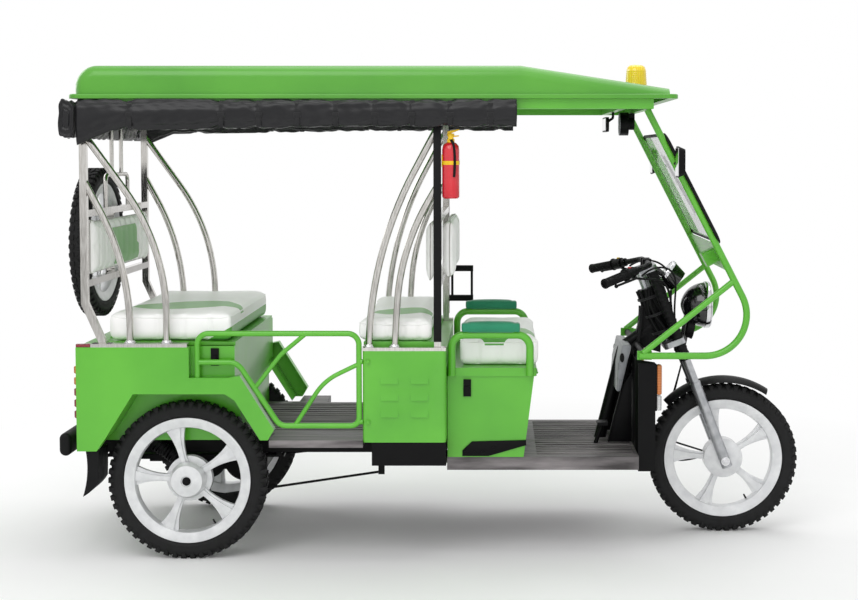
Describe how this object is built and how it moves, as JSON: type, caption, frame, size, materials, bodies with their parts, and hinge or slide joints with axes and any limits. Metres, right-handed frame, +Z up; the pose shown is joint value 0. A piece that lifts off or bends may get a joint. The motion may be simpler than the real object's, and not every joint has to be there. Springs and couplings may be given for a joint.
{
  "type": "electric passenger rickshaw",
  "caption": "Three-wheeled electric passenger rickshaw with a roof on tube posts, facing bench seats, a handlebar driver place and an open tubular front frame.",
  "frame": {"origin": "on the ground below the middle of the vehicle's bounding box, which is also the line of the middle posts", "axes": "+X forward, +Y to the vehicle's left, +Z up"},
  "size_m": [2.7639, 1.048, 1.8148],
  "materials": {
    "beacon_yellow": "clear lens",
    "black_plastic": "moulded satin",
    "black_steel": "satin paint",
    "body_green": "gloss paint",
    "bright_steel": "polished tube",
    "canvas_black": "coated canvas",
    "clear_glass": "clear",
    "extinguisher_red": "gloss paint",
    "floor_black": "ribbed mat",
    "foam_green": "soft foam",
    "fork_silver": "satin",
    "lamp_red": "moulded lens",
    "roof_green": "gel coat",
    "rubber_black": "moulded",
    "tyre_black": "treaded",
    "vinyl_white": "satin vinyl",
    "wheel_silver": "silver paint"
  },
  "bodies": {
    "vehicle": {"backrests": "vinyl_white", "battery_block": "black_plastic", "beacon": "beacon_yellow", "brake_linkage": "black_steel", "cabin_fan": "black_plastic", "canvas_blinds": "canvas_black", "chassis": "black_steel", "cowl_panel": "body_green", "driver_floor": "floor_black", "driver_seat_box": "body_green", "extinguisher": "extinguisher_red", "foot_step": "black_steel", "front_frame": "body_green", "grab_bracket": "black_steel", "grab_hoops": "bright_steel", "lamps": "lamp_red", "latches": "black_steel", "legshield": "black_plastic", "mid_cushion": "vinyl_white", "mid_posts": "bright_steel", "mid_seat_base": "body_green", "mid_seat_box": "body_green", "mirrors": "black_plastic", "mudflaps": "rubber_black", "passenger_floor": "floor_black", "rear_axle": "black_steel", "rear_bumper": "rubber_black", "rear_posts": "bright_steel", "rear_seat_box": "body_green", "rear_sides": "body_green", "rear_springs": "black_steel", "roof_frame": "body_green", "roof_shell": "roof_green", "side_guard": "body_green", "side_trays": "black_steel", "spare_bracket": "bright_steel", "spare_tyre": "tyre_black", "spare_wheel": "wheel_silver", "tail_panel": "body_green", "windscreen": "clear_glass"},
    "steering": {"fork": "fork_silver", "front_mudguard": "black_plastic", "gauge": "black_plastic", "handlebar": "black_plastic", "headlamp": "black_plastic", "horn": "black_steel"},
    "front_wheel_set": {"front_tyre": "tyre_black", "front_wheel": "wheel_silver"},
    "rear_right_wheel_set": {"rear_right_tyre": "tyre_black", "rear_right_wheel": "wheel_silver"},
    "rear_left_wheel_set": {"rear_left_tyre": "tyre_black", "rear_left_wheel": "wheel_silver"},
    "driver_seat": {"armrest_pads": "foam_green", "driver_cushion": "vinyl_white", "driver_seat_lid": "body_green"},
    "rear_seat": {"rear_cushion": "vinyl_white", "rear_seat_lid": "body_green"}
  },
  "joints": [
    {"name": "steering_turn", "type": "hinge", "parent": "vehicle", "child": "steering", "pos_m": [0.776, 0, 0.997], "axis": [-0.3616, 0, 0.9323], "range_deg": [-40, 40]},
    {"name": "front_wheel_spin", "type": "hinge", "parent": "steering", "child": "front_wheel_set", "pos_m": [1.094, 0, 0.288], "axis": [0, 1, 0], "continuous": true},
    {"name": "rear_right_wheel_spin", "type": "hinge", "parent": "vehicle", "child": "rear_right_wheel_set", "pos_m": [-0.911, -0.39, 0.288], "axis": [0, 1, 0], "continuous": true},
    {"name": "rear_left_wheel_spin", "type": "hinge", "parent": "vehicle", "child": "rear_left_wheel_set", "pos_m": [-0.911, 0.39, 0.288], "axis": [0, 1, 0], "continuous": true},
    {"name": "driver_seat_lid_hinge", "type": "hinge", "parent": "vehicle", "child": "driver_seat", "pos_m": [0.361, 0, 0.663], "axis": [0, 1, 0], "range_deg": [0, 60]},
    {"name": "rear_seat_lid_hinge", "type": "hinge", "parent": "vehicle", "child": "rear_seat", "pos_m": [-1.212, 0, 0.795], "axis": [0, -1, 0], "range_deg": [0, 65]}
  ]
}
